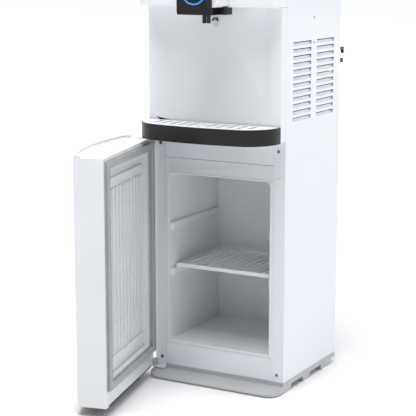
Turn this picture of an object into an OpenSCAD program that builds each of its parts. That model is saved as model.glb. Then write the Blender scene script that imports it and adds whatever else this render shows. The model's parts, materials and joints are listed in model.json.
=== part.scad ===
// Free-standing top-loading water dispenser with a refrigerated cabinet.
// Origin: on the floor under the middle of the cabinet. +Z up, front towards -Y.

/* [Cabinet] */
// Width of the cabinet
body_w = 310; // [304:1:316]
// Depth of the cabinet between its front frame and its rear panel
body_d = 264; // [258:1:270]
// Height of the grey plinth
plinth_h = 24; // [22:1:26]
// Thickness of the folded steel sheet
sheet_t = 1.2; // [0.8:0.1:1.6]
// Width of the front stiles
stile_w = 26; // [24:1:28]
// How far the front sill of the plinth stands out
sill_out = 41; // [36:1:44]

/* [Cooled compartment] */
// Height of the compartment floor
cavity_z0 = 80; // [78:1:84]
// Height of the compartment ceiling
cavity_z1 = 447; // [440:1:450]
// Half the clear width of the compartment
cavity_hw = 121; // [118:1:122]
// Depth of the compartment behind the front frame
cavity_d = 222; // [200:1:224]
// Top of the lower shelf rail
rail_top = 238; // [230:1:245]
// Height between the two pairs of shelf rails
rail_step = 101; // [90:1:110]

/* [Alcove and head] */
// How far the alcove wall stands in front of the cabinet frame
wall_out = 23; // [20:1:26]
// Height of the drip tray's top edge
tray_top = 564; // [560:1:568]
// Height of the drip tray
tray_h = 33; // [31:1:35]
// Bottom edge of the head
head_z0 = 801; // [795:1:806]
// Top edge of the head and of the side panels
head_z1 = 965; // [960:1:975]
// How far the head stands in front of the cabinet frame
head_out = 60; // [56:1:62]
// Height of the top cover above the head
cover_h = 18; // [16:1:20]

/* [Door] */
// Width of the door
door_w = 302; // [300:1:303]
// Thickness of the door at its middle
door_t = 81; // [78:1:84]
// Height of the door's lower edge
door_z0 = 19; // [18:0.5:20]
// Height of the door's upper lip
door_z1 = 525; // [522:0.5:525.5]
// Angle at which the door stands open
door_open = 76.4; // [60:0.1:90]
// Clearance of the hinge pin in its knuckle
hinge_gap = 0.05; // [0.02:0.01:0.08]

/* [Side vents] */
// Louvres in each column
vent_rows = 12; // [10:1:12]
// Distance from one louvre to the next
vent_pitch = 13.92; // [13:0.01:14.2]
// Height of one louvre
vent_slot_h = 7.5; // [6:0.5:8]
// Top edge of the highest louvre
vent_top = 730; // [725:1:735]

/* [Hidden] */
$fn = 72;

hw = body_w / 2;
yf = -body_d / 2;
yr = body_d / 2;
zb = plinth_h;
gap = 0.3;
wall_y = yf - wall_out;
head_y = yf - head_out;
tray_z0 = tray_top - tray_h;
alcove_z0 = tray_z0 + 2;
cover_top = head_z1 + cover_h;
deck_z = 466;
inner_hw = hw - stile_w - gap;
bow_r = 618;
panel_y = head_y - 43;
nose_y = head_y - 37;
ring_z = head_z0 + 33;
hollow_d = 12;
sensor_y = wall_y + hollow_d;
sensor_z = head_z0 - 30;
tap_z0 = head_z0 - 14.5;
tap_hw = 38.5;

steel = "silver";
white = "white";
shell_white = [0.95, 0.96, 0.98];
liner_white = [0.90, 0.91, 0.93];
black = [0.13, 0.13, 0.14];
plinth_grey = [0.68, 0.69, 0.71];
gasket_grey = [0.50, 0.51, 0.53];

// ---- shared shapes ----

module block(x0, x1, y0, y1, z0, z1) {
    translate([x0, y0, z0]) cube([x1 - x0, y1 - y0, z1 - z0]);
}

// A rectangle with four round corners, centred
module round_rect(w, d, r) {
    square([w - 2 * r, d], center = true);
    square([w, d - 2 * r], center = true);
    for (sx = [-1, 1], sy = [-1, 1]) {
        translate([sx * (w / 2 - r), sy * (d / 2 - r)]) circle(r = r);
    }
}

// An upright plate across the front, with round corners in the XZ plane
module plate_xz(x0, x1, z0, z1, y0, y1, r) {
    translate([(x0 + x1) / 2, y1, (z0 + z1) / 2]) {
        rotate([90, 0, 0]) linear_extrude(y1 - y0) round_rect(x1 - x0, z1 - z0, r);
    }
}

// A flat slab with round corners in plan
module slab(x0, x1, y0, y1, z0, z1, r) {
    translate([(x0 + x1) / 2, (y0 + y1) / 2, z0]) {
        linear_extrude(z1 - z0) round_rect(x1 - x0, y1 - y0, r);
    }
}

// A bowed outline: flat back at y_back, round corners, long shallow bow at y_front
module bow_plan(w, y_front, y_back, r) {
    y_mid = y_front + bow_r;
    x_c = w / 2 - r;
    y_c = y_mid - sqrt(pow(bow_r - r, 2) - pow(x_c, 2));
    x_t = x_c * bow_r / (bow_r - r);
    intersection() {
        translate([0, y_mid]) circle(r = bow_r, $fn = 360);
        translate([-x_t, y_front - 1]) square([2 * x_t, y_back - y_front + 1]);
    }
    translate([-w / 2, y_c]) square([w, y_back - y_c]);
    intersection() {
        for (s = [-1, 1]) {
            translate([s * x_c, y_c]) circle(r = r);
        }
        translate([-w, y_front - 1]) square([2 * w, y_back - y_front + 1]);
    }
}

module bow_slab(w, y_front, y_back, r, z0, z1) {
    translate([0, 0, z0]) linear_extrude(z1 - z0) bow_plan(w, y_front, y_back, r);
}

module upright(x, y, z0, z1, r) {
    translate([x, y, z0]) cylinder(r = r, h = z1 - z0);
}

// A rod along Y from y0 to y1
module rod_y(x, z, y0, y1, r) {
    translate([x, y1, z]) rotate([90, 0, 0]) cylinder(r = r, h = y1 - y0);
}

module rod_x(y, z, x0, x1, r) {
    translate([x0, y, z]) rotate([0, 90, 0]) cylinder(r = r, h = x1 - x0);
}

// ---- smooth tubes along a route ----

function unit(v) = v / norm(v);
function spline_at(p0, p1, p2, p3, t) =
    0.5 * (2 * p1 + (p2 - p0) * t + (2 * p0 - 5 * p1 + 4 * p2 - p3) * t * t
    + (3 * p1 - p0 - 3 * p2 + p3) * t * t * t);
function smooth_route(p, steps) = [
    for (i = [0 : len(p) - 2], k = [0 : steps - 1])
        spline_at(p[max(i - 1, 0)], p[i], p[i + 1], p[min(i + 2, len(p) - 1)], k / steps),
    p[len(p) - 1]
];
function tangent(p, i) = unit(p[min(i + 1, len(p) - 1)] - p[max(i - 1, 0)]);
function square_to(v, t) = unit(v - (v * t) * t);
function side_dir(t) = square_to(abs(t[2]) < 0.8 ? [0, 0, 1] : [1, 0, 0], t);
function carried(p, i, v) =
    i >= len(p) ? [] : concat([square_to(v, tangent(p, i))],
    carried(p, i + 1, square_to(v, tangent(p, i))));
function ring_points(c, t, n, r, sides) = [
    for (k = [0 : sides - 1])
        c + r * (cos(360 * k / sides) * n + sin(360 * k / sides) * cross(t, n))
];

module tube_along(p, r, sides = 8) {
    n = carried(p, 0, side_dir(tangent(p, 0)));
    m = len(p);
    points = [for (i = [0 : m - 1]) each ring_points(p[i], tangent(p, i), n[i], r, sides)];
    walls = [
        for (i = [0 : m - 2], k = [0 : sides - 1])
            [i * sides + k, (i + 1) * sides + k,
             (i + 1) * sides + (k + 1) % sides, i * sides + (k + 1) % sides]
    ];
    start = [[for (k = [0 : sides - 1]) k]];
    end = [[for (k = [sides - 1 : -1 : 0]) (m - 1) * sides + k]];
    polyhedron(points = points, faces = concat(walls, start, end), convexity = 6);
}

// ---- plinth ----

foot_y = [[yf + 1, 42], [yf + 97, 38], [yf + 190, 50]];

module foot(y0, length) {
    band_z = 12;
    points = [
        [y0, band_z + 2], [y0 + 1, 4], [y0 + 4, 0], [y0 + length - 16, 0],
        [y0 + length - 8, 3], [y0 + length - 3, 8], [y0 + length, band_z + 2]
    ];
    translate([-hw, 0, 0]) rotate([90, 0, 90]) linear_extrude(14) polygon(points);
    translate([hw - 14, 0, 0]) rotate([90, 0, 90]) linear_extrude(14) polygon(points);
}

module sill_profile(t) {
    polygon([
        [yf + 4, 3], [yf + 4, 15 - t], [yf - 3, 15 - t], [yf - sill_out + 5 + t, 10 - t],
        [yf - sill_out + t, 7 - t], [yf - sill_out + t, 3]
    ]);
}

module plinth_base() {
    top_t = 3.5;
    color(plinth_grey) {
        difference() {
            block(-hw, hw, yf + 0.6, yr, 12, zb - gap);
            block(-hw + 3, hw - 3, yf + 4, yr - 3, 11, zb - gap - top_t);
        }
        for (f = foot_y) foot(f[0], f[1]);
        intersection() {
            rotate([90, 0, 90]) translate([0, 0, -hw]) linear_extrude(2 * hw) sill_profile(0);
            slab(-hw, hw, yf - sill_out, yf + 60, 1, 17, 26);
        }
        cylinder(r = 24, h = zb - gap - 1);
        block(-hw + 2, hw - 2, -2, 2, 8, zb - gap - 1);
        block(-2, 2, yf + 3, yr - 2, 8, zb - gap - 1);
    }
}

// ---- cabinet sheet metal ----

vent_cols = [[yf + 30.5, yf + 116.5], [yf + 143, yf + 230]];

// Panel for the right-hand side; the left one is its mirror image
module side_sheet() {
    fold = 12;
    difference() {
        union() {
            block(hw - sheet_t, hw, yf, yr, zb, head_z1);
            block(inner_hw + gap, hw, yf, yf + sheet_t, zb, alcove_z0 - gap);
            block(hw - fold, hw, yf, yf + sheet_t, alcove_z0 - gap - 1, head_z1);
            block(hw - fold - 2, hw, yr - sheet_t, yr, zb, head_z1);
        }
        for (row = [0 : vent_rows - 1], col = vent_cols) {
            top = vent_top - row * vent_pitch;
            block(hw - 3, hw + 1, col[0], col[1], top - vent_slot_h, top);
        }
        for (z = screw_heights) rod_y(screw_x, z, yf - 1, yf + 3, 2);
        for (z = plug_heights) rod_y(screw_x, z, yf - 1, yf + 3, 2);
    }
}

module side_panel_right() {
    color(shell_white) side_sheet();
}

module side_panel_left() {
    color(shell_white) mirror([1, 0, 0]) side_sheet();
}

module rear_panel() {
    edge = hw - 14 - gap;
    color(shell_white) {
        difference() {
            block(-edge, edge, yr - sheet_t - 0.4, yr - 0.4, zb + 0.5, head_z1 - 1);
            for (row = [0 : 9], s = [-1, 1]) {
                plate_xz(s * 66 - 40, s * 66 + 40, 740 + row * 14, 746 + row * 14, yr - 4, yr + 1, 2.9);
            }
            plate_xz(-118, -42, plate_z - 25, plate_z + 25, yr - 4, yr + 1, 2);
            rod_y(drain_x, drain_z, yr - 4, yr + 1, 9);
            rod_y(134, 652, yr - 4, yr + 1, 4.5);
            rod_y(124, 491, yr - 4, yr + 1, 4.5);
            plate_xz(inlet_x - 17, inlet_x + 17, inlet_z - 13, inlet_z + 13, yr - 4, yr + 1, 2);
        }
    }
}

module front_rail_lower() {
    color(shell_white) {
        block(-inner_hw, inner_hw, yf, yf + 1.6, zb + 0.2, cavity_z0 - 7 - gap);
        block(-inner_hw, inner_hw, yf + 1.5, yf + 14, zb + 0.2, zb + 1.8);
    }
}

module upper_rail_panel() {
    color(shell_white) {
        block(-inner_hw, inner_hw, yf + 0.8, yf + 2.4, cavity_z1 + 34 + gap, alcove_z0 - gap);
    }
}

// ---- cooled compartment ----

// Front opening of the compartment: round upper corners, square lower ones
module cavity_shape(grow) {
    r = 12 + grow;
    w = 2 * (cavity_hw + grow);
    z0 = cavity_z0 - grow;
    z1 = cavity_z1 + grow;
    translate([-w / 2, z0]) square([w, z1 - r - z0]);
    translate([-w / 2 + r, z0]) square([w - 2 * r, z1 - z0]);
    for (s = [-1, 1]) {
        translate([s * (w / 2 - r), z1 - r]) circle(r = r);
    }
}

module cavity_solid(grow, y0, y1) {
    translate([0, y1, 0]) rotate([90, 0, 0]) linear_extrude(y1 - y0) cavity_shape(grow);
}

module shelf_rail(side, top) {
    depth = 7;
    tall = 17.5;
    x_wall = side * (cavity_hw + 1);
    hull() {
        for (z = [top - tall + 3, top - 3]) {
            translate([side * (cavity_hw - depth + 3), yf + 9, z]) rotate([-90, 0, 0]) {
                cylinder(r = 3, h = 200, $fn = 24);
            }
        }
        block(min(x_wall, x_wall - side), max(x_wall, x_wall - side), yf + 5, yf + 212, top - tall, top);
    }
}

module fridge_liner() {
    color(liner_white) {
        difference() {
            union() {
                block(-inner_hw, inner_hw, yf, yf + 2, cavity_z0 - 7, cavity_z1 + 34);
                cavity_solid(2, yf + 1, yf + cavity_d + 2);
                cavity_solid(3.5, yf - 1, yf + 1);
            }
            cavity_solid(0, yf - 2, yf + cavity_d);
        }
        for (s = [-1, 1], k = [0, 1]) shelf_rail(s, rail_top + k * rail_step);
    }
}

module insulation_foam() {
    color("khaki") {
        difference() {
            block(-hw + 1.6, hw - 1.6, yf + 2.4, yr - 2.2, zb + 2.2, deck_z - 2);
            cavity_solid(2.2, yf, yf + cavity_d + 2.2);
            block(-96, 96, yf + cavity_d + 2, yf + cavity_d + 5, 244, 436);
            block(-inner_hw - 1, inner_hw + 1, yf, yf + 15, zb, zb + 4);
            block(drain_x - 9, drain_x + 9, 106, yr, drain_z - 10, deck_z);
        }
    }
}

module fridge_evaporator() {
    color(steel) {
        block(-94, 94, yf + cavity_d + 2.4, yf + cavity_d + 3.6, 246, 434);
        for (i = [0 : 6]) {
            rod_x(yf + cavity_d + 3.7, 262 + i * 26, -88, 88, 1);
        }
    }
}

module fridge_shelf() {
    y0 = yf + 26;
    y1 = yf + 208;
    x1 = cavity_hw - 1;
    z0 = rail_top + 0.3;
    color(white) {
        difference() {
            slab(-x1, x1, y0, y1, z0, z0 + 6, 4);
            for (i = [-6 : 6]) {
                slab(i * 16 - 4.5, i * 16 + 4.5, y0 + 14, y1 - 12, z0 - 1, z0 + 7, 4);
            }
        }
        block(-x1 + 6, x1 - 6, y0, y0 + 3, z0 + 5, z0 + 8);
    }
}

// ---- alcove and drip tray ----

// Shallow hollow in the alcove wall with sloping sides and a sloping foot
module alcove_hollow(grow) {
    z_end = head_z0 + 60;
    hull() {
        block(-136 - grow, 136 + grow, wall_y - 1, wall_y, tray_top + 6 - grow, z_end);
        block(-114 - grow, 114 + grow, wall_y, wall_y + hollow_d + grow, tray_top + 44 - grow, z_end);
    }
}

module alcove_panel() {
    t = 2.5;
    z0 = alcove_z0;
    z1 = head_z0 - gap;
    color(white) {
        difference() {
            union() {
                difference() {
                    slab(-hw, hw, wall_y, yf + 10, z0, z1, 3);
                    slab(-hw + t, hw - t, wall_y + t, yf + 12, z0 + t, z1 + 1, 1.5);
                    block(-hw - 1, hw + 1, yf - gap, yf + 20, z0 - 1, z1 + 1);
                }
                intersection() {
                    alcove_hollow(t);
                    block(-hw + 1, hw - 1, wall_y + 0.5, yf, z0, z1);
                }
            }
            alcove_hollow(0);
            for (s = [-1, 1]) {
                block(s * 70 - 10.5, s * 70 + 10.5, wall_y - 1, wall_y + 14, tray_z0 + 3, tray_z0 + 7);
            }
            rod_y(0, sensor_z - 2, wall_y - 1, wall_y + hollow_d + 5, 3.2);
        }
    }
}

// Two steel tongues that carry the tray
module tray_support() {
    color(steel) {
        for (s = [-1, 1]) {
            block(s * 70 - 10, s * 70 + 10, wall_y - 70, wall_y + 12, tray_z0 + 3.4, tray_z0 + 6.6);
        }
        block(-82, 82, wall_y + 3, wall_y + 12, tray_z0 + 6.5, tray_z0 + 16);
    }
}

tray_front = yf - 108;
tray_back = wall_y - gap;
tray_floor = tray_z0 + 10;
tray_r = 70;

module drip_tray() {
    rim = 3.2;
    color(black) {
        difference() {
            bow_slab(body_w, tray_front, tray_back, tray_r, tray_z0, tray_top);
            bow_slab(body_w - 2 * rim, tray_front + rim, tray_back - rim, tray_r - 3,
                tray_floor, tray_top + 1);
            bow_slab(body_w - 2 * rim + 2.4, tray_front + rim - 1.2, tray_back - rim + 1.2, tray_r - 2,
                tray_top - 4, tray_top + 1);
            for (s = [-1, 1]) {
                block(s * 70 - 10.4, s * 70 + 10.4, wall_y - 71, wall_y, tray_z0 + 3, tray_z0 + 7);
            }
        }
        for (s = [-1, 1]) {
            block(s * 40 - 1, s * 40 + 1, tray_front + 20, tray_back - 4, tray_floor - 1, tray_floor + 6);
        }
    }
}

float_y = wall_y - 36;

module drip_grille() {
    pitch = 22;
    inset = 2.3;
    z0 = tray_top - 3.7;
    color(white) {
        difference() {
            bow_slab(body_w - 2 * inset, tray_front + inset, tray_back - inset, tray_r - 1,
                z0, tray_top + 0.4);
            for (i = [-5 : 5]) {
                x = i * pitch;
                front = tray_front + 16 + pow(abs(x) / 110, 2) * 12;
                if (i == 0) {
                    slab(-3.5, 3.5, front, float_y - 17, z0 - 1, tray_top + 2, 3.4);
                } else {
                    slab(x - 3.5, x + 3.5, front, tray_back - 12, z0 - 1, tray_top + 2, 3.4);
                }
            }
            upright(0, float_y, z0 - 1, tray_top + 2, 6.5);
        }
    }
}

module tray_float() {
    color("red") {
        upright(0, float_y, tray_floor + 9.5, tray_top - 0.6, 6);
        upright(0, float_y, tray_floor + 0.3, tray_floor + 10, 13);
    }
}

// ---- head ----

module head_fascia() {
    t = 2.5;
    color(white) {
        difference() {
            slab(-hw, hw, head_y, yf + 20, head_z0, head_z1 - gap, 10);
            slab(-hw + t, hw - t, head_y + t, yf + 22, head_z0 + t, head_z1 + 1, 8);
            block(-hw - 1, hw + 1, yf - gap, yf + 30, head_z0 - 1, head_z1 + 1);
            block(-11, 11, nozzle_y - 5, nozzle_y + 5, head_z0 - 1, head_z0 + 5);
            rod_y(0, ring_z, head_y - 1, head_y + 5, 9);
        }
    }
}

seat_y = -10;

module top_cover() {
    t = 3;
    color(white) {
        difference() {
            union() {
                slab(-hw, hw, head_y, yr, head_z1, cover_top - 4, 10);
                slab(-hw + 3, hw - 3, head_y + 3, yr - 3, head_z1 + 4, cover_top, 8);
            }
            slab(-hw + t, hw - t, head_y + t, yr - t, head_z1 - 1, cover_top - 4 - t, 8);
            upright(0, seat_y, head_z1 - 2, cover_top + 1, 122.4);
        }
    }
}

// Funnel that takes the shoulder and neck of the bottle
module bottle_seat() {
    top = cover_top;
    color(shell_white) translate([0, seat_y, 0]) rotate_extrude($fn = 120) {
        polygon([
            [126, top + 0.2], [126, top + 5], [124, top + 6.5], [119, top + 6.5], [112, top],
            [82, top - 26], [36, top - 42], [31, top - 48], [31, top - 66], [27.5, top - 66],
            [27.5, top - 69], [33.5, top - 69], [33.5, top - 48], [38, top - 44.6],
            [83, top - 29], [114, top - 3], [121.8, top - 3], [121.8, top + 0.2]
        ]);
    }
}

module bottle_probe() {
    z0 = cover_top - 65.7;
    color(white) translate([0, seat_y, 0]) {
        difference() {
            union() {
                translate([0, 0, z0]) cylinder(r = 30.6, h = 3.5);
                translate([0, 0, z0]) cylinder(r = 11, h = 62);
                translate([0, 0, z0 + 61.9]) cylinder(r1 = 11, r2 = 6, h = 12);
            }
            translate([0, 0, z0 - 1]) cylinder(r = 8.4, h = 61);
            for (a = [0 : 45 : 315]) rotate([0, 0, a]) {
                translate([21, 0, z0 - 1]) cylinder(r = 5, h = 6);
            }
            for (a = [0 : 60 : 300], h = [38, 50]) rotate([0, 0, a]) {
                translate([0, 0, z0 + h]) rotate([0, 90, 0]) cylinder(r = 3, h = 14);
            }
        }
    }
}

// ---- tap ----

nozzle_xs = [-5, 5];
nozzle_y = head_y + 10;

module nose_form(inset) {
    z_low = head_z0 + gap + inset;
    hull() {
        plate_xz(-58 + inset, 58 - inset, z_low, head_z0 + 118 - inset, head_y - 2, head_y - gap, 12);
        plate_xz(-49 + inset, 49 - inset, z_low, head_z0 + 106 - inset,
            nose_y + inset, nose_y + inset + 3, 9);
    }
}

module tap_nose() {
    color(white) {
        difference() {
            nose_form(0);
            nose_form(2.5);
            block(-54, 54, head_y - 3, head_y + 1, head_z0 + 4, head_z0 + 108);
            rod_y(0, ring_z, nose_y - 1, nose_y + 6, 4.4);
        }
    }
}

module tap_bar() {
    color(black) {
        difference() {
            slab(-55, 55, nozzle_y - 22, nozzle_y + 10, tap_z0, head_z0 - gap, 5);
            for (x = nozzle_xs) upright(x, nozzle_y, tap_z0 - 1, head_z0 + 1, 4.3);
        }
    }
}

module tap_housing() {
    color(black) {
        difference() {
            union() {
                plate_xz(-tap_hw, tap_hw, tap_z0, head_z0 + 79, panel_y, nose_y - gap, 5.5);
                slab(-tap_hw, tap_hw, panel_y + 1, nozzle_y - 22 - gap, tap_z0, head_z0 - gap, 1);
            }
            rod_y(0, ring_z, panel_y - 1, nose_y + 1, 22);
            difference() {
                rod_y(0, ring_z, panel_y - 1, panel_y + 2, 28.6);
                rod_y(0, ring_z, panel_y - 2, panel_y + 3, 25.2);
            }
        }
    }
}

module ring_light() {
    color("dodgerblue") {
        difference() {
            rod_y(0, ring_z, panel_y - 0.2, panel_y + 1.8, 28.4);
            rod_y(0, ring_z, panel_y - 2, panel_y + 3, 25.4);
        }
    }
}

module dispense_button() {
    color(black) {
        difference() {
            union() {
                rod_y(0, ring_z, panel_y - 0.2, panel_y + 3.4, 21.6);
                rod_y(0, ring_z, panel_y + 1, nose_y + 12, 3.9);
            }
            difference() {
                rod_y(0, ring_z, panel_y + 1.8, panel_y + 5, 9);
                rod_y(0, ring_z, panel_y, panel_y + 6, 3.9);
            }
        }
    }
}

module button_spring() {
    y0 = panel_y + 2.3;
    y1 = nose_y - 0.6;
    route = [
        for (i = [0 : 45])
            [6.3 * cos(i * 20), y0 + (y1 - y0) * i / 45, ring_z + 6.3 * sin(i * 20)]
    ];
    color(steel) tube_along(route, 0.4, 6);
}

module dispense_nozzles() {
    color(black) {
        for (x = nozzle_xs) {
            difference() {
                upright(x, nozzle_y, head_z0 - 33, head_z0 + 12, 4.2);
                upright(x, nozzle_y, head_z0 - 34, head_z0 + 13, 2.8);
            }
        }
    }
}

module cup_sensor_hood() {
    color(black) {
        difference() {
            rod_y(0, sensor_z, sensor_y - 6, sensor_y - gap, 6.5);
            rod_y(0, sensor_z, sensor_y - 7, sensor_y + 1, 5.2);
            block(-8, 8, sensor_y - 8, sensor_y + 1, sensor_z - 8, sensor_z);
        }
    }
}

module cup_sensor_lens() {
    z = sensor_z - 2;
    color("lightgray") {
        rod_y(0, z, sensor_y - 3, sensor_y - gap, 4.8);
        plate_xz(-4.8, 4.8, z - 9, z, sensor_y - 3, sensor_y - gap, 2);
        rod_y(0, z, sensor_y - 0.5, sensor_y + 8, 2.8);
    }
}

module solenoid_valves() {
    for (x = valve_xs) {
        color(white) block(x - 14, x + 14, valve_y - 11, valve_y + 11, valve_z - 12, valve_z + 12);
        color("royalblue") upright(x, valve_y, valve_z + 12, valve_z + 40, 12);
        color(white) upright(x, valve_y, valve_z - 22, valve_z - 12, 4);
        color(white) rod_y(x, valve_z, valve_y + 11, valve_y + 23, 4);
    }
}

module control_board() {
    y0 = head_y + 12;
    color("darkgreen") block(56, 140, y0, y0 + 1.6, head_z0 + 20, head_z0 + 100);
    color(black) block(64, 88, y0 + 1.6, y0 + 19, head_z0 + 30, head_z0 + 54);
    color("royalblue") block(96, 132, y0 + 1.6, y0 + 29, head_z0 + 26, head_z0 + 58);
    color(black) block(72, 92, y0 + 1.6, y0 + 4, head_z0 + 66, head_z0 + 86);
    for (x = [104, 118, 132]) {
        color(steel) rod_y(x, head_z0 + 78, y0 + 1.6, y0 + 14, 4.5);
    }
}

// ---- cold side ----

cold_z0 = 722;
cold_z1 = 910;
cold_r = 72;

module cold_tank() {
    color(steel) translate([0, seat_y, 0]) {
        difference() {
            union() {
                translate([0, 0, cold_z0]) cylinder(r = cold_r, h = cold_z1 - cold_z0);
                translate([0, 0, cold_z0 - 18]) cylinder(r = 5, h = 20);
            }
            translate([0, 0, cold_z0 + 1]) cylinder(r = cold_r - 1, h = cold_z1 - cold_z0 - 2);
            translate([0, 0, cold_z0 - 20]) cylinder(r = 4, h = 30);
            translate([0, 0, cold_z1 - 2]) cylinder(r = 34, h = 4);
        }
        translate([40, 0, cold_z0 - 18]) cylinder(r = 5, h = 18);
    }
}

module evaporator_coil() {
    tube_r = 3;
    mid_r = cold_r + 3.2;
    color("chocolate") translate([0, seat_y, 0]) {
        for (i = [0 : 8]) {
            translate([0, 0, cold_z0 + 22 + i * 17]) rotate_extrude() {
                translate([mid_r, 0]) circle(r = tube_r, $fn = 24);
            }
        }
        translate([0, mid_r + 2, cold_z0 + 22]) cylinder(r = 2.6, h = 8 * 17);
    }
}

module cold_tank_jacket() {
    color(liner_white) translate([0, seat_y, 0]) {
        difference() {
            translate([0, 0, cold_z0 - 12]) cylinder(r = 100, h = cold_z1 - cold_z0 + 10);
            translate([0, 0, cold_z0 - 0.3]) cylinder(r = 81, h = cold_z1);
            translate([0, 0, cold_z0 - 20]) cylinder(r = 5.6, h = 30);
            translate([40, 0, cold_z0 - 20]) cylinder(r = 5.6, h = 30);
            rod_y(0, cold_z0 + 22, 79, 102, 4.2);
        }
    }
}

// ---- hot side ----

hot_x = -84;
hot_y = 40;
hot_z0 = 520;
hot_z1 = 668;
hot_r = 48;

module hot_tank() {
    color(steel) translate([hot_x, hot_y, 0]) {
        difference() {
            union() {
                rotate_extrude() {
                    polygon([
                        [0, hot_z0 - 8], [30, hot_z0 - 6], [44, hot_z0], [hot_r, hot_z0 + 6],
                        [hot_r, hot_z1 - 6], [44, hot_z1], [30, hot_z1 + 6], [0, hot_z1 + 8]
                    ]);
                }
                translate([0, 0, hot_z1 + 5]) cylinder(r = 5, h = 16);
                translate([0, 0, hot_z0 - 20]) cylinder(r = 5, h = 16);
                translate([26, 0, hot_z1 + 1]) cylinder(r = 5, h = 18);
            }
            rotate_extrude() {
                polygon([
                    [0, hot_z0 - 6.6], [29.7, hot_z0 - 4.6], [43, hot_z0 + 1.2], [hot_r - 1.3, hot_z0 + 6.6],
                    [hot_r - 1.3, hot_z1 - 6.6], [43, hot_z1 - 1.2], [29.7, hot_z1 + 4.6], [0, hot_z1 + 6.6]
                ]);
            }
            translate([0, 0, hot_z1]) cylinder(r = 3.8, h = 22);
        }
    }
}

module heater_band() {
    color("peru") translate([hot_x, hot_y, hot_z0 + 30]) {
        difference() {
            cylinder(r = hot_r + 4, h = 44);
            translate([0, 0, -1]) cylinder(r = hot_r + 0.3, h = 46);
            translate([-hot_r - 6, -3, -1]) cube([14, 6, 46]);
        }
        translate([hot_r + 3, -8, 16]) cube([9, 16, 12]);
    }
}

module thermostats() {
    color(black) {
        for (a = [30, 150]) translate([hot_x, hot_y, hot_z0 + 105]) rotate([0, 0, a - 90]) {
            translate([0, hot_r + 0.3, 0]) rotate([-90, 0, 0]) cylinder(r = 9, h = 8);
        }
    }
}

// ---- refrigeration ----

comp_x = 52;
comp_y = 42;
comp_z = 486;

module compressor_deck() {
    color(steel) {
        difference() {
            union() {
                block(-hw + 1.6, hw - 1.6, yf + 4, yr - 2.2, deck_z, deck_z + 1.6);
                block(-hw + 1.6, hw - 1.6, yr - 4, yr - 2.2, deck_z, deck_z + 16);
            }
            for (a = [90, 210, 330]) {
                translate([comp_x + 58 * cos(a), comp_y + 58 * sin(a), deck_z - 1]) cylinder(r = 4.4, h = 4);
            }
            upright(drain_x, 112, deck_z - 1, deck_z + 3, 6);
        }
    }
}

module compressor() {
    color(black) translate([comp_x, comp_y, 0]) {
        rotate_extrude() {
            polygon([
                [0, comp_z], [30, comp_z + 2], [46, comp_z + 12], [50, comp_z + 24], [50, comp_z + 62],
                [54, comp_z + 62], [54, comp_z + 68], [50, comp_z + 68], [49, comp_z + 104],
                [42, comp_z + 122], [26, comp_z + 132], [0, comp_z + 136]
            ]);
        }
        for (a = [90, 210, 330]) rotate([0, 0, a]) {
            difference() {
                translate([34, -9, comp_z + 2]) cube([34, 18, 3]);
                translate([58, 0, comp_z]) cylinder(r = 4.4, h = 8);
            }
        }
        translate([0, -46, comp_z + 84]) rotate([90, 0, 0]) cylinder(r = 4, h = 16);
        translate([-20, -40, comp_z + 40]) rotate([90, 0, 0]) cylinder(r = 4, h = 22);
        translate([48, -14, comp_z + 76]) cube([16, 28, 26]);
    }
}

module compressor_feet() {
    color("dimgray") {
        for (a = [90, 210, 330]) translate([comp_x + 58 * cos(a), comp_y + 58 * sin(a), 0]) {
            difference() {
                union() {
                    translate([0, 0, deck_z + 1.8]) cylinder(r = 9, h = comp_z - deck_z);
                    translate([0, 0, deck_z - 1]) cylinder(r = 4.1, h = 28);
                    translate([0, 0, comp_z + 5.3]) cylinder(r = 7, h = 5);
                }
                translate([0, 0, deck_z - 3]) cylinder(r = 2, h = 40);
            }
        }
    }
}

module filter_drier() {
    color("chocolate") translate([124, 104, 0]) {
        rotate_extrude() {
            polygon([
                [0, 505], [2.5, 505], [2.5, 520], [9, 532], [9, 590], [2.5, 602], [2.5, 616], [0, 616]
            ]);
        }
    }
}

suction_route = [
    [comp_x - 20, comp_y - 62.5, comp_z + 40], [comp_x - 20, comp_y - 78, comp_z + 40],
    [comp_x - 22, comp_y - 90, comp_z + 70], [20, -60, 640], [60, -30, 660], [112, 30, 690],
    [112, 60, 730], [60, 100, 744], [20, 112, 744], [0, 104, 744], [0, 86, 744], [0, 70.2, 744]
];
discharge_route = [
    [comp_x, comp_y - 62.5, comp_z + 84], [comp_x, comp_y - 76, comp_z + 84], [92, -50, 580],
    [128, -20, 590], [137, 40, 600], [137, 90, 624], [134, 116, 648], [134, 134, 652],
    [131, 146, 651], [123, 150, 650], [116.4, 150, 650]
];
liquid_low = [
    [116.4, 150, 110], [122, 150, 110], [127, 152.5, 115], [126, 157, 125], [124, 158, 140]
];
liquid_high = [
    [124, 158, 460], [124, 158, 474], [124, 151, 486], [124, 139, 491], [124, 126, 491],
    [124, 112, 491], [124, 105, 496], [124, 104, 504.6]
];

module refrigerant_lines() {
    color("chocolate") {
        tube_along(smooth_route(suction_route, 4), 3);
        tube_along(smooth_route(discharge_route, 4), 3);
        tube_along(concat(smooth_route(liquid_low, 4), smooth_route(liquid_high, 4)), 3);
    }
}

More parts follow.
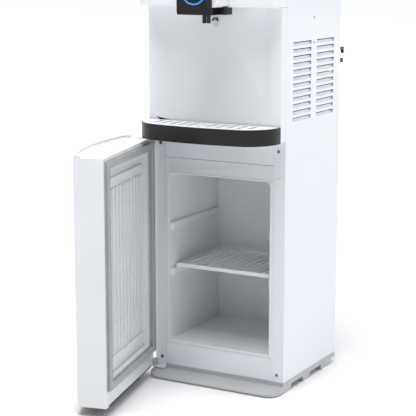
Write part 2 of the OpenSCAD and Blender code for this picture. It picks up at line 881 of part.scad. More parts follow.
valve_xs = [-34, 34];
valve_y = head_y + 34;
valve_z = head_z0 + 42;
cold_hose = [
    [0, seat_y, cold_z0 - 18.4], [0, -12, 692], [9, -32, 684], [24, -66, 686], [33, -98, 697],
    [34, -116, 718], [34, -122, 746], [34, -122, 775], [34, -119, 802], [34, -115, 824],
    [34, -117, 836], [34, -125, 842.6], [34, valve_y + 23.4, valve_z]
];
hot_feed = [
    [40, seat_y, cold_z0 - 18.4], [40, -8, 693], [33, 7, 685], [10, 26, 684], [-16, 38, 688],
    [-38, 41, 697], [-51, 40.5, 700], [-57.4, 40, 695], [hot_x + 26, hot_y, hot_z1 + 19.4]
];
hot_hose = [
    [hot_x, hot_y, hot_z1 + 21.4], [-85, 39, 697], [-95, 28, 702], [-114, 6, 706],
    [-122, -24, 718], [-122, -54, 734], [-108, -86, 750], [-82, -110, 766], [-56, -121, 784],
    [-39, -121, 804], [-34, -115, 824], [-34, -117, 836], [-34, -125, 842.6],
    [-34, valve_y + 23.4, valve_z]
];
drain_x = -128;
drain_z = 60;
drain_high = [
    [hot_x, hot_y, hot_z0 - 20.4], [hot_x, hot_y, 495], [hot_x, hot_y, 490], [-93, 54, 481], [-108, 78, 479],
    [-121, 101, 477], [drain_x, 112, 466], [drain_x, 112, 450]
];
drain_low = [
    [drain_x, 112, 88], [drain_x, 112, 76], [drain_x, 114.5, 66], [drain_x, 119.5, 60.6],
    [drain_x, 123.6, 60]
];

module water_hoses() {
    color("ivory") {
        for (route = [cold_hose, hot_feed, hot_hose]) tube_along(smooth_route(route, 4), 4.5);
        tube_along(concat(smooth_route(drain_high, 4), smooth_route(drain_low, 4)), 4.5);
        for (i = [0, 1]) {
            spout = [
                [valve_xs[i], valve_y, valve_z - 22.4], [valve_xs[i], valve_y, valve_z - 24.4],
                [valve_xs[i], valve_y, valve_z - 26.4], [valve_xs[i] * 0.8, valve_y - 6, valve_z - 30],
                [nozzle_xs[i] * 2, nozzle_y + 8, head_z0 + 18.5],
                [nozzle_xs[i], nozzle_y + 1, head_z0 + 18.5], [nozzle_xs[i], nozzle_y, head_z0 + 12.4]
            ];
            tube_along(smooth_route(spout, 4), 3.2);
        }
    }
}

cond_y = yr + 18;
cond_pitch = 36;
cond_z0 = 110;
cond_rows = 16;
cond_hw = 116;
rail_x = cond_hw + cond_pitch / 2 + 4.1;

module condenser_coil() {
    r = 2.4;
    color(black) {
        for (i = [0 : cond_rows - 1]) {
            rod_x(cond_y, cond_z0 + i * cond_pitch, -cond_hw, cond_hw, r);
        }
        for (i = [0 : cond_rows - 2]) {
            s = i % 2 == 0 ? -1 : 1;
            translate([s * cond_hw, cond_y, cond_z0 + (i + 0.5) * cond_pitch]) rotate([90, 0, 0]) {
                rotate([0, 0, s * 90 - 180]) rotate_extrude(angle = 180) {
                    translate([cond_pitch / 2, 0]) circle(r = r);
                }
            }
        }
    }
}

module condenser_wires() {
    step = 13;
    r = 0.8;
    off = 2.4 + r + 0.05;
    color(black) {
        for (i = [-8 : 8], s = [-1, 1]) {
            upright(i * step, cond_y + s * off, cond_z0 - 8, cond_z0 + (cond_rows - 1) * cond_pitch + 8, r);
        }
    }
}

module condenser_rails() {
    color("gray") {
        for (s = [-1, 1]) {
            x = s * rail_x;
            block(x - 1.5, x + 1.5, cond_y - 8, cond_y + 4, cond_z0 - 10, 664);
        }
    }
}

bracket_heights = [140, 400, 606];

module condenser_brackets() {
    color(black) {
        for (s = [-1, 1], z = bracket_heights) {
            x = s * rail_x;
            block(x - 12, x + 6, yr + gap, yr + 3, z, z + 30);
            block(x + (s > 0 ? 1.8 : -5.8), x + (s > 0 ? 5.8 : -1.8), yr + 2, cond_y + 8, z + 8, z + 22);
            block(x - 5.8, x + 5.8, cond_y + 4.3, cond_y + 8, z + 8, z + 22);
        }
        for (s = [-1, 1]) {
            x = s * 149;
            block(x - 4, x + 4, yr + gap, yr + 4, 672, 712);
            block(x - 3, x + 3, yr + 3, yr + 27, 700, 706);
            block(x - 3, x + 3, yr + 23, yr + 27, 692, 706);
            block(x - 3, x + 3, yr + 3, yr + 24, 672, 682);
        }
    }
}

// ---- rear services ----

plate_z = 700;
rocker_xs = [-98, -62];
inlet_x = 84;
inlet_z = 700;

module switch_plate() {
    color(black) {
        difference() {
            union() {
                plate_xz(-122, -38, plate_z - 29, plate_z + 29, yr - 0.1, yr + 2.4, 4);
                plate_xz(-117, -43, plate_z - 24, plate_z + 24, yr - 14, yr, 2);
            }
            for (x = rocker_xs) {
                block(x - 7.5, x + 7.5, yr - 12, yr + 5, plate_z - 13, plate_z + 13);
            }
        }
        for (x = rocker_xs) rod_x(yr - 2, plate_z, x - 8, x + 8, 1.4);
    }
}

module rocker(x) {
    translate([x, yr - 2, plate_z]) rotate([-7, 0, 0]) {
        difference() {
            union() {
                rotate([90, 0, 90]) translate([0, 0, -7]) linear_extrude(14) {
                    polygon([
                        [-3, -11.5], [5, -11.8], [6.8, -11], [5.6, 0], [6.8, 11], [5, 11.8], [-3, 11.5]
                    ]);
                }
            }
            rotate([0, 90, 0]) translate([0, 0, -9]) cylinder(r = 1.45, h = 18);
        }
    }
}

module hot_rocker() {
    color("firebrick") rocker(rocker_xs[0]);
}

module cold_rocker() {
    color("seagreen") rocker(rocker_xs[1]);
}

module power_inlet() {
    color(black) {
        difference() {
            union() {
                plate_xz(inlet_x - 22, inlet_x + 22, inlet_z - 17, inlet_z + 17, yr - 0.1, yr + 2.6, 4);
                plate_xz(inlet_x - 16, inlet_x + 16, inlet_z - 12, inlet_z + 12, yr - 20, yr, 2);
            }
            plate_xz(inlet_x - 12.5, inlet_x + 12.5, inlet_z - 8.5, inlet_z + 8.5, yr - 16, yr + 4, 3);
        }
    }
    for (p = [[-7, -2], [7, -2], [0, 3]]) {
        color(steel) block(inlet_x + p[0] - 1, inlet_x + p[0] + 1, yr - 16.5, yr - 4,
            inlet_z + p[1] - 2, inlet_z + p[1] + 2);
    }
}

module drain_spout() {
    color(white) {
        difference() {
            union() {
                rod_y(drain_x, drain_z, yr - 8, yr + 17, 8);
                rod_y(drain_x, drain_z, yr, yr + 2.4, 13);
            }
            rod_y(drain_x, drain_z, yr - 9, yr + 18, 5);
        }
    }
}

module drain_cap() {
    color(black) {
        difference() {
            union() {
                rod_y(drain_x, drain_z, yr + 3, yr + 20.6, 11);
                for (a = [0 : 30 : 330]) {
                    rod_y(drain_x + 11 * cos(a), drain_z + 11 * sin(a), yr + 4, yr + 20, 1.2);
                }
            }
            rod_y(drain_x, drain_z, yr + 2, yr + 17.6, 8.06);
        }
    }
}

// ---- door, drawn shut and turned open about its hinge ----

door_back = yf - 8;
door_front = door_back - door_t;
door_r = 9;
skin = 2;
hinge_x = -hw + 0.5;
hinge_y = yf - 5.5;
pin_r = 2.5;

module swung() {
    translate([hinge_x, hinge_y, 0]) rotate([0, 0, -door_open]) translate([-hinge_x, -hinge_y, 0]) children();
}

module door_shell() {
    inner_top = door_z1 - 5;
    color(white) swung() {
        difference() {
            bow_slab(door_w, door_front, door_back, door_r, door_z0, door_z1);
            bow_slab(door_w - 2 * skin, door_front + skin, door_back + 1, door_r - skin,
                door_z0 - 1, door_z1 + 1);
            block(-hw, hw, door_back - 46, door_back + 1, inner_top, door_z1 + 1);
        }
        for (s = [-1, 1]) {
            x = s * (door_w / 2 - 8);
            block(x - 7.5, x + 7.5, door_back - 1.5, door_back, door_z0, inner_top);
        }
    }
}

module door_caps() {
    w = door_w - 2 * skin - 0.4;
    color(white) swung() {
        bow_slab(w, door_front + skin + 0.2, door_back - 2, door_r - skin, door_z1 - 8, door_z1 - 5);
        bow_slab(w, door_front + skin + 0.2, door_back - 2, door_r - skin, door_z0 + 1, door_z0 + 4);
    }
}

liner_z0 = door_z0 + 31;
liner_z1 = door_z1 - 8.4;

module door_foam() {
    w = door_w - 2 * skin - 0.4;
    color("khaki") swung() {
        difference() {
            bow_slab(w, door_front + skin + 0.2, door_back - 2, door_r - skin, door_z0 + 4.2, door_z1 - 8.2);
            block(-118.2, 118.2, door_back - 14.2, door_back, liner_z0 + 20, liner_z1 - 20);
            block(-138, 138, door_back - 2.6, door_back, door_z0, liner_z1 + 1);
        }
    }
}

// Inner panel: flat rim under the gasket, shallow tray with upright flutes
module door_liner() {
    z0 = liner_z0 + 22;
    z1 = liner_z1 - 22;
    color(liner_white) swung() {
        difference() {
            union() {
                block(-135.2, 135.2, door_back - 2.2, door_back, liner_z0, liner_z1);
                block(-117, 117, door_back - 13, door_back - 1, z0, z1);
            }
            block(-115, 115, door_back - 11, door_back + 1, z0 + 2, z1 - 2);
        }
        for (i = [-5 : 4]) {
            plate_xz(i * 21 + 3, i * 21 + 18, z0 + 44, z1 - 44, door_back - 11.5, door_back - 7, 6);
        }
        for (z = [z0 + 22, z1 - 34]) {
            plate_xz(-106, 106, z, z + 12, door_back - 11.5, door_back - 5, 5);
        }
        block(-135.2, 135.2, door_back - 2.2, door_back - 0.2, door_z0 + 5, liner_z0 + 1);
    }
}

module gasket_ring(out, inn, y0, y1) {
    difference() {
        block(-out, out, y0, y1, liner_z0 + 2 + 145 - out, liner_z1 - 2 - 145 + out);
        block(-inn, inn, y0 - 1, y1 + 1, liner_z0 + 2 + 145 - inn, liner_z1 - 2 - 145 + inn);
    }
}

module door_gasket() {
    color(gasket_grey) swung() {
        gasket_ring(145, 127, door_back + 0.2, door_back + 2.4);
        gasket_ring(142, 139, door_back + 2.3, door_back + 4.6);
        gasket_ring(133, 130, door_back + 2.3, door_back + 4.6);
        gasket_ring(143.5, 128.5, door_back + 4.5, door_back + 7.1);
    }
}

knuckle_r = 4.2;

module knuckle(z0, z1) {
    difference() {
        union() {
            translate([hinge_x, hinge_y, z0]) cylinder(r = knuckle_r, h = z1 - z0);
            block(hinge_x, hinge_x + 8.8, door_back + 0.2, door_back + 2, z0, z1);
        }
        translate([hinge_x, hinge_y, z0 - 1]) cylinder(r = pin_r + hinge_gap, h = z1 - z0 + 2);
    }
}

module door_knuckles() {
    color(steel) swung() {
        knuckle(door_z0 + 1, door_z0 + 15);
        knuckle(door_z1 - 17, door_z1 - 3);
    }
}

// Plate, upright flange and pin of one hinge; up is 1 for the lower one and -1 for the upper one
module hinge_bracket(z, up) {
    z_plate = up > 0 ? z - 3 : z;
    z_flange = up > 0 ? z - 3 : z - 9;
    flange_h = up > 0 ? 15 : 12;
    difference() {
        union() {
            slab(hinge_x - 5, -hw + 26, yf - 12, yf - gap, z_plate, z_plate + 3, 4.5);
            block(-hw + 5.5, -hw + 26, yf - 2, yf - gap, z_flange, z_flange + flange_h);
        }
        translate([-hw + 20, yf + 1, z_flange + (up > 0 ? 10 : 5)]) rotate([90, 0, 0]) {
            cylinder(r = 1.8, h = 6);
        }
    }
    translate([hinge_x, hinge_y, up > 0 ? z_plate : z - 14]) cylinder(r = pin_r, h = 17);
}

module hinge_brackets() {
    color(steel) {
        hinge_bracket(door_z0 - 0.4, 1);
        hinge_bracket(door_z1 + 0.5, -1);
    }
}

// ---- fasteners ----

screw_x = hw - 15.5;
screw_heights = [39, 511];
plug_heights = [453];
side_screws = [[-4, 701 + zb], [-4, 752 + zb]];

module pan_head(r, h) {
    difference() {
        union() {
            cylinder(r = r, h = h * 0.5);
            translate([0, 0, h * 0.5 - 0.01]) cylinder(r1 = r, r2 = r * 0.62, h = h * 0.5);
        }
        translate([0, 0, h * 0.55]) cylinder(r = r * 0.34, h = h, $fn = 6);
    }
}

module frame_screws() {
    color(steel) {
        for (s = [-1, 1], z = screw_heights) {
            translate([s * screw_x, yf - 0.05, z]) rotate([90, 0, 0]) pan_head(4.2, 0.45);
            rod_y(s * screw_x, z, yf - 0.2, yf + 2.2, 1.8);
        }
    }
    color(shell_white) {
        for (s = [-1, 1], z = plug_heights) {
            rod_y(s * screw_x, z, yf - 0.5, yf - 0.05, 4.6);
            rod_y(s * screw_x, z, yf - 0.2, yf + 2.2, 1.8);
        }
    }
    color(shell_white) {
        for (s = [-1, 1], p = side_screws) {
            translate([s * (hw + 0.1), p[0], p[1]]) rotate([0, s * 90, 0]) pan_head(2.4, 1.2);
        }
    }
}

plinth_base();
side_panel_left();
side_panel_right();
rear_panel();
front_rail_lower();
upper_rail_panel();
fridge_liner();
insulation_foam();
fridge_evaporator();
fridge_shelf();
alcove_panel();
tray_support();
drip_tray();
drip_grille();
tray_float();
head_fascia();
top_cover();
bottle_seat();
bottle_probe();
tap_nose();
tap_bar();
tap_housing();
ring_light();
dispense_button();
button_spring();
dispense_nozzles();
cup_sensor_hood();
cup_sensor_lens();
solenoid_valves();
control_board();
cold_tank();
evaporator_coil();
cold_tank_jacket();
hot_tank();
heater_band();
thermostats();
compressor_deck();
compressor();
compressor_feet();
filter_drier();
refrigerant_lines();
water_hoses();
condenser_coil();
condenser_wires();
condenser_rails();
condenser_brackets();
switch_plate();
hot_rocker();
cold_rocker();
power_inlet();
drain_spout();
drain_cap();
door_shell();
door_caps();
door_foam();
door_liner();
door_gasket();
door_knuckles();
hinge_brackets();
frame_screws();
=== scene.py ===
import json
import math
import bmesh
import bpy
from mathutils import Matrix, Vector


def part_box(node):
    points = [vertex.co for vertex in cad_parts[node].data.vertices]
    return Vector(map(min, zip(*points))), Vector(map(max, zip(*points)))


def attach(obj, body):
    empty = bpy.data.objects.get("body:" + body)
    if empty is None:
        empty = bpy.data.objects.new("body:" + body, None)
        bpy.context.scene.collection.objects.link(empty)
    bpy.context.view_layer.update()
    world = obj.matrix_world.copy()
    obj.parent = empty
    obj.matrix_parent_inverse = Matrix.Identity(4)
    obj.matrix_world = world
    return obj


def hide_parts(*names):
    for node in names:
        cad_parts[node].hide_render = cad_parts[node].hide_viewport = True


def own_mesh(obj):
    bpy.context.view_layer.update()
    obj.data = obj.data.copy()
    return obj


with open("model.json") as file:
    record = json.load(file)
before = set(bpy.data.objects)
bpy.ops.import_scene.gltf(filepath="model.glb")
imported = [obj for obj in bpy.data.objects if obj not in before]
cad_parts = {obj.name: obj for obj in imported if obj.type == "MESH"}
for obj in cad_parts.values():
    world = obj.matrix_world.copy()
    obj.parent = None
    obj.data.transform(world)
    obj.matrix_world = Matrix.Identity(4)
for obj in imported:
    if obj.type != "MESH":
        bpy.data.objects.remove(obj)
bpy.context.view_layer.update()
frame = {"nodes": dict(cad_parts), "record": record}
record = frame["record"]
bodyOf = {node: body for body, nodes in record["behaviour"]["bodies"].items() for node in nodes}
slotOf = {part["node"]: part["material_slot"] for part in record["subparts"]}
mm = 0.001
print("frame loaded:", len(frame["nodes"]), "nodes")


# node and material helpers

def newNode(material, kind, **values):
    node = material.node_tree.nodes.new(kind)
    for name, value in values.items():
        if name in node.inputs:
            node.inputs[name].default_value = value
        else:
            setattr(node, name, value)
    return node


def link(material, fromNode, output, toNode, socket):
    material.node_tree.links.new(fromNode.outputs[output], toNode.inputs[socket])


def blankMaterial(name, values):
    material = bpy.data.materials.new(name)
    material.use_nodes = True
    shader = material.node_tree.nodes["Principled BSDF"]
    for socket, value in values.items():
        shader.inputs[socket].default_value = value
    coords = newNode(material, "ShaderNodeTexCoord")
    return material, shader, coords


def noiseOn(material, coords, scale, detail=3.0, stretch=(1, 1, 1)):
    mapping = newNode(material, "ShaderNodeMapping")
    mapping.inputs["Scale"].default_value = stretch
    noise = newNode(material, "ShaderNodeTexNoise", Scale=scale, Detail=detail)
    link(material, coords, "Object", mapping, "Vector")
    link(material, mapping, "Vector", noise, "Vector")
    return noise


def roughFrom(material, noise, shader, low, high):
    spread = newNode(material, "ShaderNodeMapRange")
    spread.inputs["To Min"].default_value = low
    spread.inputs["To Max"].default_value = high
    link(material, noise, "Fac", spread, "Value")
    link(material, spread, "Result", shader, "Roughness")


def bumpFrom(material, source, output, shader, strength, distance):
    bump = newNode(material, "ShaderNodeBump", Strength=strength, Distance=distance)
    link(material, source, output, bump, "Height")
    link(material, bump, "Normal", shader, "Normal")


def tintFrom(material, noise, shader, dark, light):
    ramp = newNode(material, "ShaderNodeValToRGB")
    ramp.color_ramp.elements[0].position = 0.3
    ramp.color_ramp.elements[1].position = 0.7
    ramp.color_ramp.elements[0].color = (*dark, 1)
    ramp.color_ramp.elements[1].color = (*light, 1)
    link(material, noise, "Fac", ramp, "Fac")
    link(material, ramp, "Color", shader, "Base Color")


def shaded(colour, share):
    return tuple(channel * share for channel in colour)


# finishes, one function for each kind

def enamelFinish(name, colour, gloss=0.2):  # sprayed and baked paint on sheet steel
    material, shader, coords = blankMaterial(name, {"IOR": 1.5, "Coat Weight": 0.35, "Coat Roughness": 0.06})
    broad = noiseOn(material, coords, 6, 2)
    peel = noiseOn(material, coords, 420, 2)
    tintFrom(material, broad, shader, shaded(colour, 0.985), colour)
    roughFrom(material, broad, shader, gloss - 0.04, gloss + 0.05)
    bumpFrom(material, peel, "Fac", shader, 0.06, 0.0004)
    return material


def mouldedFinish(name, colour, gloss=0.25, grain=700, depth=0.08, ior=1.47):  # injection-moulded plastic
    material, shader, coords = blankMaterial(name, {"IOR": ior})
    broad = noiseOn(material, coords, 9, 2)
    fine = noiseOn(material, coords, grain, 3)
    tintFrom(material, broad, shader, shaded(colour, 0.97), colour)
    roughFrom(material, fine, shader, gloss - 0.05, gloss + 0.06)
    bumpFrom(material, fine, "Fac", shader, depth, 0.0003)
    return material


def metalFinish(name, colour, gloss=0.32, stretch=(1, 1, 14)):  # drawn or brushed bare metal
    material, shader, coords = blankMaterial(name, {"Metallic": 1.0})
    lines = noiseOn(material, coords, 160, 4, stretch)
    stain = noiseOn(material, coords, 14, 3)
    tintFrom(material, stain, shader, shaded(colour, 0.84), colour)
    roughFrom(material, lines, shader, gloss - 0.1, gloss + 0.12)
    bumpFrom(material, lines, "Fac", shader, 0.12, 0.0003)
    return material


def foamFinish(name, colour):  # cut rigid foam with open cells
    material, shader, coords = blankMaterial(name, {"Roughness": 0.9})
    cells = newNode(material, "ShaderNodeTexVoronoi", Scale=380.0)
    link(material, coords, "Object", cells, "Vector")
    broad = noiseOn(material, coords, 18, 4)
    tintFrom(material, broad, shader, shaded(colour, 0.86), colour)
    bumpFrom(material, cells, "Distance", shader, 0.5, 0.0012)
    return material


def rubberFinish(name, colour, gloss=0.6):
    material, shader, coords = blankMaterial(name, {"IOR": 1.5, "Sheen Weight": 0.12})
    broad = noiseOn(material, coords, 25, 3)
    fine = noiseOn(material, coords, 900, 3)
    tintFrom(material, broad, shader, shaded(colour, 0.88), colour)
    roughFrom(material, fine, shader, gloss - 0.08, gloss + 0.1)
    bumpFrom(material, fine, "Fac", shader, 0.15, 0.0003)
    return material


def glowFinish(name, colour):  # lit translucent ring
    material, shader, coords = blankMaterial(name, {
        "Emission Color": (0.03, 0.25, 0.78, 1), "Emission Strength": 0.35, "IOR": 1.49,
    })
    broad = noiseOn(material, coords, 90, 2)
    tintFrom(material, broad, shader, shaded(colour, 0.9), colour)
    roughFrom(material, broad, shader, 0.18, 0.26)
    return material


slotColours = {
    "cabinet_steel": (0.80, 0.83, 0.87), "white_plastic": (0.83, 0.85, 0.88),
    "liner_plastic": (0.80, 0.82, 0.84), "grille_plastic": (0.88, 0.89, 0.91),
    "black_gloss_plastic": (0.012, 0.012, 0.014), "black_plastic": (0.022, 0.022, 0.024),
    "plinth_plastic": (0.50, 0.51, 0.53), "gasket_vinyl": (0.42, 0.425, 0.435), "foam": (0.80, 0.74, 0.52),
    "ring_lens": (0.04, 0.28, 0.75), "sensor_lens": (0.66, 0.68, 0.72), "float_plastic": (0.80, 0.82, 0.84),
    "tank_steel": (0.62, 0.62, 0.61), "zinc_steel": (0.56, 0.57, 0.58), "spring_steel": (0.60, 0.60, 0.60),
    "alu_plate": (0.78, 0.78, 0.79), "copper": (0.72, 0.36, 0.22), "heater_mica": (0.62, 0.50, 0.34),
    "compressor_black": (0.025, 0.025, 0.027), "rubber_grey": (0.08, 0.08, 0.08),
    "silicone": (0.78, 0.77, 0.70), "condenser_black": (0.03, 0.03, 0.032),
    "condenser_rail_grey": (0.35, 0.36, 0.37), "board_green": (0.02, 0.15, 0.06),
    "valve_plastic": (0.80, 0.80, 0.78), "rocker_red": (0.50, 0.03, 0.02),
    "rocker_green": (0.02, 0.28, 0.07), "screw_steel": (0.50, 0.50, 0.51),
}
slotFinish = {}


def addFinishes():
    for slot in ("cabinet_steel", "compressor_black", "condenser_black", "condenser_rail_grey"):
        slotFinish[slot] = enamelFinish(slot, slotColours[slot])
    for slot in ("zinc_steel", "tank_steel", "spring_steel", "alu_plate", "copper", "heater_mica"):
        slotFinish[slot] = metalFinish(slot, slotColours[slot])
    for slot in ("gasket_vinyl", "rubber_grey"):
        slotFinish[slot] = rubberFinish(slot, slotColours[slot])
    slotFinish["foam"] = foamFinish("foam", slotColours["foam"])
    slotFinish["ring_lens"] = glowFinish("ring_lens", slotColours["ring_lens"])
    slotFinish["screw_steel"] = metalFinish("screw_steel", slotColours["screw_steel"], 0.25, (1, 1, 1))
    slotFinish["silicone"] = mouldedFinish("silicone", slotColours["silicone"], 0.4, 300)
    slotFinish["black_gloss_plastic"] = mouldedFinish(
        "black_gloss_plastic", slotColours["black_gloss_plastic"], 0.2, 500, 0.03, 1.34)
    slotFinish["black_plastic"] = mouldedFinish("black_plastic", slotColours["black_plastic"], 0.4)
    plinthColour = slotColours["plinth_plastic"]
    slotFinish["plinth_plastic"] = mouldedFinish("plinth_plastic", plinthColour, 0.45, 500, 0.2)
    for slot in slotColours:
        if slot not in slotFinish:
            slotFinish[slot] = mouldedFinish(slot, slotColours[slot])


addFinishes()
print("finishes made:", len(slotFinish))


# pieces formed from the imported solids

def finishPiece(bm, name, body, slot, nodes=(), creaseAngle=35, material=None):
    mesh = bpy.data.meshes.new(name)
    bm.to_mesh(mesh)
    bm.free()
    piece = bpy.data.objects.new(name, mesh)
    bpy.context.scene.collection.objects.link(piece)
    mesh.materials.clear()
    mesh.materials.append(material or slotFinish[slot])
    mesh.shade_smooth()
    mesh.set_sharp_from_angle(angle=math.radians(creaseAngle))
    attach(piece, body)
    if nodes:
        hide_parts(*nodes)
    return piece


flatAngle = 0.4  # degrees between triangles that are merged into one flat face


def meshOf(node):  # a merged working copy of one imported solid
    bm = bmesh.new()
    bm.from_mesh(frame["nodes"][node].data)
    bmesh.ops.remove_doubles(bm, verts=bm.verts, dist=0.00001)
    bmesh.ops.dissolve_limit(
        bm, angle_limit=math.radians(flatAngle), verts=bm.verts, edges=bm.edges, delimit={"NORMAL"},
    )
    for face in bm.faces:
        face.material_index = 0
    return bm


def softenEdges(piece, width, segments=2, angle=40):
    bevel = piece.modifiers.new("edges", "BEVEL")
    bevel.width = width
    bevel.segments = segments
    bevel.limit_method = "ANGLE"
    bevel.angle_limit = math.radians(angle)
    bevel.use_clamp_overlap = True
    bevel.harden_normals = True
    return piece


def roundTubes(piece, levels=1):
    smooth = piece.modifiers.new("round", "SUBSURF")
    smooth.levels = levels
    smooth.render_levels = levels
    return piece


edgeWidths = {  # rounding of each pressed or moulded piece, in millimetres
    "plinth_base": 1.2, "side_panel_left": 0.5, "side_panel_right": 0.5, "rear_panel": 0.3,
    "front_rail_lower": 0.5, "upper_rail_panel": 0.5, "fridge_liner": 0.9, "fridge_shelf": 0.8,
    "alcove_panel": 0.8, "tray_support": 0.3, "drip_tray": 0.8, "drip_grille": 0.5, "tray_float": 0.8,
    "head_fascia": 0.8, "top_cover": 1.5, "bottle_seat": 0.8, "bottle_probe": 0.4, "tap_nose": 0.8,
    "tap_bar": 0.9, "tap_housing": 0.9, "ring_light": 0.2, "dispense_button": 0.6, "dispense_nozzles": 0.4,
    "cup_sensor_hood": 0.3, "cup_sensor_lens": 0.4, "solenoid_valves": 0.8, "control_board": 0.2,
    "cold_tank": 0.4, "cold_tank_jacket": 1.0, "hot_tank": 0.4, "heater_band": 0.4, "thermostats": 0.6,
    "compressor_deck": 0.3, "compressor": 1.2, "compressor_feet": 0.8, "filter_drier": 0.6,
    "insulation_foam": 1.0, "fridge_evaporator": 0.3, "condenser_rails": 0.4, "condenser_brackets": 0.6,
    "switch_plate": 0.6, "hot_rocker": 0.5, "cold_rocker": 0.5, "power_inlet": 0.5, "drain_spout": 0.5,
    "drain_cap": 0.5, "door_shell": 0.8, "door_caps": 0.4, "door_foam": 1.0, "door_liner": 1.0,
    "door_gasket": 0.7, "door_knuckles": 0.4, "hinge_brackets": 0.5, "frame_screws": 0.12,
}


def jointNamed(name):
    return next(joint for joint in record["behaviour"]["joints"] if joint["name"] == name)


def shortenSpring(piece):  # the spring piece gets its own copy of its mesh
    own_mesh(piece)


def carryOver():
    for node, width in edgeWidths.items():
        piece = finishPiece(meshOf(node), node + "_formed", bodyOf[node], slotOf[node], [node])
        softenEdges(piece, width * mm)
    for node in ("refrigerant_lines", "water_hoses", "button_spring"):
        piece = finishPiece(meshOf(node), node + "_drawn", bodyOf[node], slotOf[node], [node], 60)
        roundTubes(piece)
        if node == "button_spring":
            shortenSpring(piece)
    for node in ("evaporator_coil", "condenser_coil", "condenser_wires"):
        finishPiece(meshOf(node), node + "_drawn", bodyOf[node], slotOf[node], [node], 50)


carryOver()
print("cabinet pieces formed")


# pressed louvres in both sides

louvres = {
    "rows": 12, "pitch": 13.92, "top": 730.0, "slotHeight": 7.5, "columns": ((-101.5, -15.5), (11.0, 98.0)),
    "lean": 12.0, "thickness": 0.9, "bladeHeight": 6.0, "inset": 2.4, "drop": 1.3,
    "overlap": 3, "rounding": 0.25,
}


def louvreBlades(side, name, body):
    bm = bmesh.new()
    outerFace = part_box("side_panel_right")[1].x
    for row in range(louvres["rows"]):
        middle = (louvres["top"] - louvres["slotHeight"] / 2 - louvres["drop"] - row * louvres["pitch"]) * mm
        for front, rear in louvres["columns"]:
            length = (rear - front + louvres["overlap"]) * mm
            size = Matrix.Diagonal((louvres["thickness"] * mm, length, louvres["bladeHeight"] * mm, 1))
            lean = Matrix.Rotation(math.radians(-side * louvres["lean"]), 4, "Y")
            across = side * (outerFace - louvres["inset"] * mm)
            place = Matrix.Translation((across, (front + rear) / 2 * mm, middle))
            bmesh.ops.create_cube(bm, size=1.0, matrix=place @ lean @ size)
    bmesh.ops.bevel(
        bm, geom=bm.edges[:], offset=louvres["rounding"] * mm, segments=2, profile=0.5,
        affect="EDGES", material=-1,
    )
    finishPiece(bm, name, body, "cabinet_steel")


louvreBlades(1, "louvre_blades_right", "cabinet")
louvreBlades(-1, "louvre_blades_left", "cabinet")
print("louvres pressed")


# black discs as painted shade in the screw recesses, white plugs and the soft lip that closes the gap beside
# the hinge

screws = {
    "across": 139.5, "screwHeights": (39.0, 511.0), "plugHeights": (453.0,), "recessShadeRadius": 2.3,
    "recessShadeStand": 0.62, "recessShadeBack": 0.3, "plugRadius": 4.75, "plugStand": 0.72, "plugBack": 0.1,
    "rounding": 0.12,
}
hingeLip = {
    "inner": 148.0, "thickness": 1.2, "reach": 7.0, "bottom": 52.0, "top": 514.4,
    "doorGap": 8, "rounding": 0.3,
}


def discRow(name, heights, radius, back, stand, slot):
    bm = bmesh.new()
    face = Matrix.Rotation(math.radians(90), 4, "X")
    for side in (-1, 1):
        for height in heights:
            middle = (side * screws["across"] * mm, (frontFace - (back + stand) / 2) * mm, height * mm)
            place = Matrix.Translation(middle)
            bmesh.ops.create_cone(bm, cap_ends=True, segments=32, radius1=radius * mm, radius2=radius * mm,
                                  depth=(stand - back) * mm, matrix=place @ face)
    rims = [edge for edge in bm.edges if edge.is_manifold and edge.calc_face_angle() > 1]
    bmesh.ops.bevel(
        bm, geom=rims, offset=screws["rounding"] * mm, segments=2, profile=0.5, affect="EDGES", material=-1,
    )
    finishPiece(bm, name, "cabinet", slot)


def gasketLip():
    hinge = jointNamed("door_hinge")
    pivot = Vector(hinge["pos_m"])
    openTurn = Matrix.Translation(pivot) @ Matrix.Rotation(math.radians(hinge["range_deg"][0]), 4, "Z")
    swung = openTurn @ Matrix.Translation(-pivot)
    size = Matrix.Diagonal((hingeLip["thickness"] * mm, hingeLip["reach"] * mm,
                            (hingeLip["top"] - hingeLip["bottom"]) * mm, 1))
    middle = Vector((
        -(hingeLip["inner"] + hingeLip["thickness"] / 2) * mm,
        doorBack * mm + hingeLip["reach"] / 2 * mm,
        (hingeLip["top"] + hingeLip["bottom"]) / 2 * mm,
    ))
    bm = bmesh.new()
    bmesh.ops.create_cube(bm, size=1.0, matrix=swung @ Matrix.Translation(middle) @ size)
    bmesh.ops.bevel(
        bm, geom=bm.edges[:], offset=hingeLip["rounding"] * mm, segments=2, profile=0.5,
        affect="EDGES", material=-1,
    )
    finishPiece(bm, "gasket_hinge_lip", "door", "gasket_vinyl")


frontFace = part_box("side_panel_left")[0].y / mm
doorBack = frontFace - hingeLip["doorGap"]
# black discs set into the screw heads: painted shade standing in for the dark drive recesses
discRow(
    "screw_recess_painted_shade", screws["screwHeights"], screws["recessShadeRadius"], screws["recessShadeBack"],
    screws["recessShadeStand"], "black_plastic",
)
discRow(
    "plug_faces", screws["plugHeights"], screws["plugRadius"], screws["plugBack"], screws["plugStand"],
    "white_plastic",
)
gasketLip()
print("screws, plugs and gasket lip added")


# floor, light and camera

studio = {
    "floorSize": 30.0, "floorColour": (0.94, 0.94, 0.945, 1), "floorGlow": (1.0, 7.0, 0.02, 0.75),
    "skyColour": (0.97, 0.985, 1.0, 1), "skyFront": 0.33, "skyBack": 1.02, "skyTurn": (-0.6, 0.3),
    "lights": [  # name, place, point it is aimed at, size, spread in degrees, power
        ("top", (0.1, -0.95, 3.7), (0, -0.1, 0.5), 1.7, 180, 98),
        ("right", (3.0, 0.0, 1.2), (0, 0, 0.5), 2.4, 180, 1.5),
    ],
    "cameraPlace": (1.3195, -2.5302, 0.9103), "cameraTurn": (79.08, 0.0, 29.27), "lens": 115.29,
}


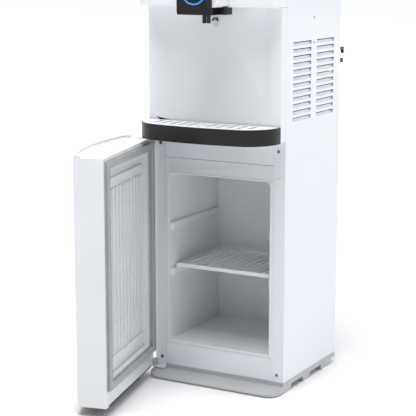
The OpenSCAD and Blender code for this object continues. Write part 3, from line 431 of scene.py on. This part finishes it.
def buildSky():  # brighter behind the object than in front of it
    world = bpy.data.worlds.new("studio")
    world.use_nodes = True
    nodes, links = world.node_tree.nodes, world.node_tree.links
    sky = nodes["Background"]
    sky.inputs["Color"].default_value = studio["skyColour"]
    around = nodes.new("ShaderNodeTexCoord")
    parts = nodes.new("ShaderNodeSeparateXYZ")
    spread = nodes.new("ShaderNodeMapRange")
    spread.inputs["From Min"].default_value = studio["skyTurn"][0]
    spread.inputs["From Max"].default_value = studio["skyTurn"][1]
    spread.inputs["To Min"].default_value = studio["skyFront"]
    spread.inputs["To Max"].default_value = studio["skyBack"]
    links.new(around.outputs["Generated"], parts.inputs["Vector"])
    links.new(parts.outputs["Y"], spread.inputs["Value"])
    links.new(spread.outputs["Result"], sky.inputs["Strength"])
    bpy.context.scene.world = world
    bpy.context.scene.view_settings.view_transform = "Standard"


def buildFloor():
    bm = bmesh.new()
    bmesh.ops.create_grid(bm, x_segments=1, y_segments=1, size=studio["floorSize"] / 2)
    floorMesh = bpy.data.meshes.new("floor")
    bm.to_mesh(floorMesh)
    bm.free()
    floor = bpy.data.objects.new("floor", floorMesh)
    bpy.context.scene.collection.objects.link(floor)
    material, shader, coords = blankMaterial("floor", {
        "Base Color": studio["floorColour"], "Emission Color": (1, 1, 1, 1),
    })
    roughFrom(material, noiseOn(material, coords, 3, 2), shader, 0.7, 0.8)
    reach = newNode(material, "ShaderNodeVectorMath", operation="LENGTH")
    glow = newNode(material, "ShaderNodeMapRange")
    for socket, value in zip(("From Min", "From Max", "To Min", "To Max"), studio["floorGlow"]):
        glow.inputs[socket].default_value = value
    link(material, coords, "Object", reach, "Vector")
    link(material, reach, "Value", glow, "Value")
    link(material, glow, "Result", shader, "Emission Strength")
    floorMesh.materials.append(material)


def buildLights():
    for name, place, target, size, spread, power in studio["lights"]:
        lamp = bpy.data.lights.new(name, "AREA")
        lamp.size = size
        lamp.spread = math.radians(spread)
        lamp.energy = power
        holder = bpy.data.objects.new(name, lamp)
        holder.location = place
        aim = Vector(target) - Vector(place)
        holder.rotation_euler = aim.to_track_quat("-Z", "Y").to_euler()
        bpy.context.scene.collection.objects.link(holder)


def buildCamera():
    lens = bpy.data.cameras.new("camera")
    lens.lens = studio["lens"]
    lens.sensor_width = 36
    camera = bpy.data.objects.new("camera", lens)
    camera.location = studio["cameraPlace"]
    camera.rotation_euler = [math.radians(turn) for turn in studio["cameraTurn"]]
    bpy.context.scene.collection.objects.link(camera)
    bpy.context.scene.camera = camera


buildSky()
buildFloor()
buildLights()
buildCamera()
print("studio ready")
